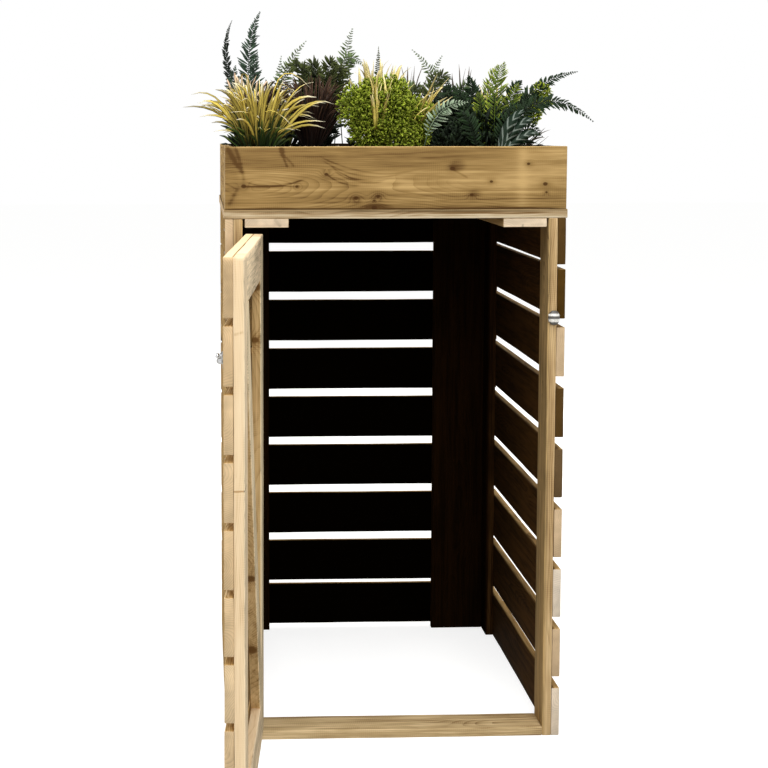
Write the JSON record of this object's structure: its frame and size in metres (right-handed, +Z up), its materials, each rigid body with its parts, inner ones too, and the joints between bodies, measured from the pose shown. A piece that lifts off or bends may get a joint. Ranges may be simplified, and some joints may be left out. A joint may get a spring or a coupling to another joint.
{
  "type": "wheelie bin store",
  "caption": "Slatted softwood store for one wheeled bin, open underneath, with a ledged side-hung door, a sliding bolt and a planted trough as its roof.",
  "frame": {"origin": "on the ground, at the middle of the front threshold's front edge", "axes": "+Z up, +Y from the door opening to the back wall, +X to the right as seen from the front"},
  "size_m": [1.0005, 1.6883, 1.812],
  "materials": {
    "wall_slats": "rough-sawn pressure-treated softwood, unsealed",
    "frame_boards": "sawn pressure-treated softwood, unsealed",
    "planter_boards": "sawn pressure-treated softwood, unsealed",
    "door_boards": "sawn pressure-treated softwood with pale cut ends",
    "zinc_plate": "bright zinc plated",
    "steel_rod": "bright zinc plated",
    "fixings": "dull galvanised",
    "soil": "pale gravel over soil",
    "foliage": "leaves, soft sheen"
  },
  "bodies": {
    "store": {"left_slat_1": "wall_slats", "left_slat_2": "wall_slats", "left_slat_3": "wall_slats", "left_slat_4": "wall_slats", "left_slat_5": "wall_slats", "left_slat_6": "wall_slats", "left_slat_7": "wall_slats", "left_slat_8": "wall_slats", "left_slat_9": "wall_slats", "right_slat_1": "wall_slats", "right_slat_2": "wall_slats", "right_slat_3": "wall_slats", "right_slat_4": "wall_slats", "right_slat_5": "wall_slats", "right_slat_6": "wall_slats", "right_slat_7": "wall_slats", "right_slat_8": "wall_slats", "right_slat_9": "wall_slats", "back_slats": "wall_slats", "front_post_left": "frame_boards", "front_post_right": "frame_boards", "rear_post_left": "frame_boards", "rear_post_right": "frame_boards", "back_batten_left": "frame_boards", "back_batten_right": "frame_boards", "threshold": "frame_boards", "roof_bearers": "frame_boards", "roof_boards": "frame_boards", "planter_front": "planter_boards", "planter_back": "planter_boards", "planter_left": "planter_boards", "planter_right": "planter_boards", "planter_soil": "soil", "hinge_post_leaves": "zinc_plate", "hinge_pins": "steel_rod", "bolt_keep": "zinc_plate", "frame_fixings": "fixings", "striped_grass": "foliage", "dark_grass": "foliage", "tall_ferns": "foliage", "spreading_ferns": "foliage", "round_bush": "foliage"},
    "door": {"door_slat_1": "door_boards", "door_slat_2": "door_boards", "door_slat_3": "door_boards", "door_slat_4": "door_boards", "door_slat_5": "door_boards", "door_slat_6": "door_boards", "door_slat_7": "door_boards", "door_slat_8": "door_boards", "door_slat_9": "door_boards", "door_stile_hinge": "door_boards", "door_stile_latch": "door_boards", "door_rail_top": "door_boards", "door_rail_bottom": "door_boards", "door_brace": "door_boards", "hinge_door_leaves": "zinc_plate", "bolt_guide": "zinc_plate", "door_fixings": "fixings"},
    "bolt": {"bolt_rod": "steel_rod"}
  },
  "joints": [
    {"name": "door_hinge", "type": "hinge", "parent": "store", "child": "door", "pos_m": [-0.366, -0.005, 0.655], "axis": [0, 0, -1], "range_deg": [-95, 80]},
    {"name": "bolt_slide", "type": "slide", "parent": "door", "child": "bolt", "axis": [-0.0872, -0.9962, 0], "range_m": [0, 0.03]}
  ]
}
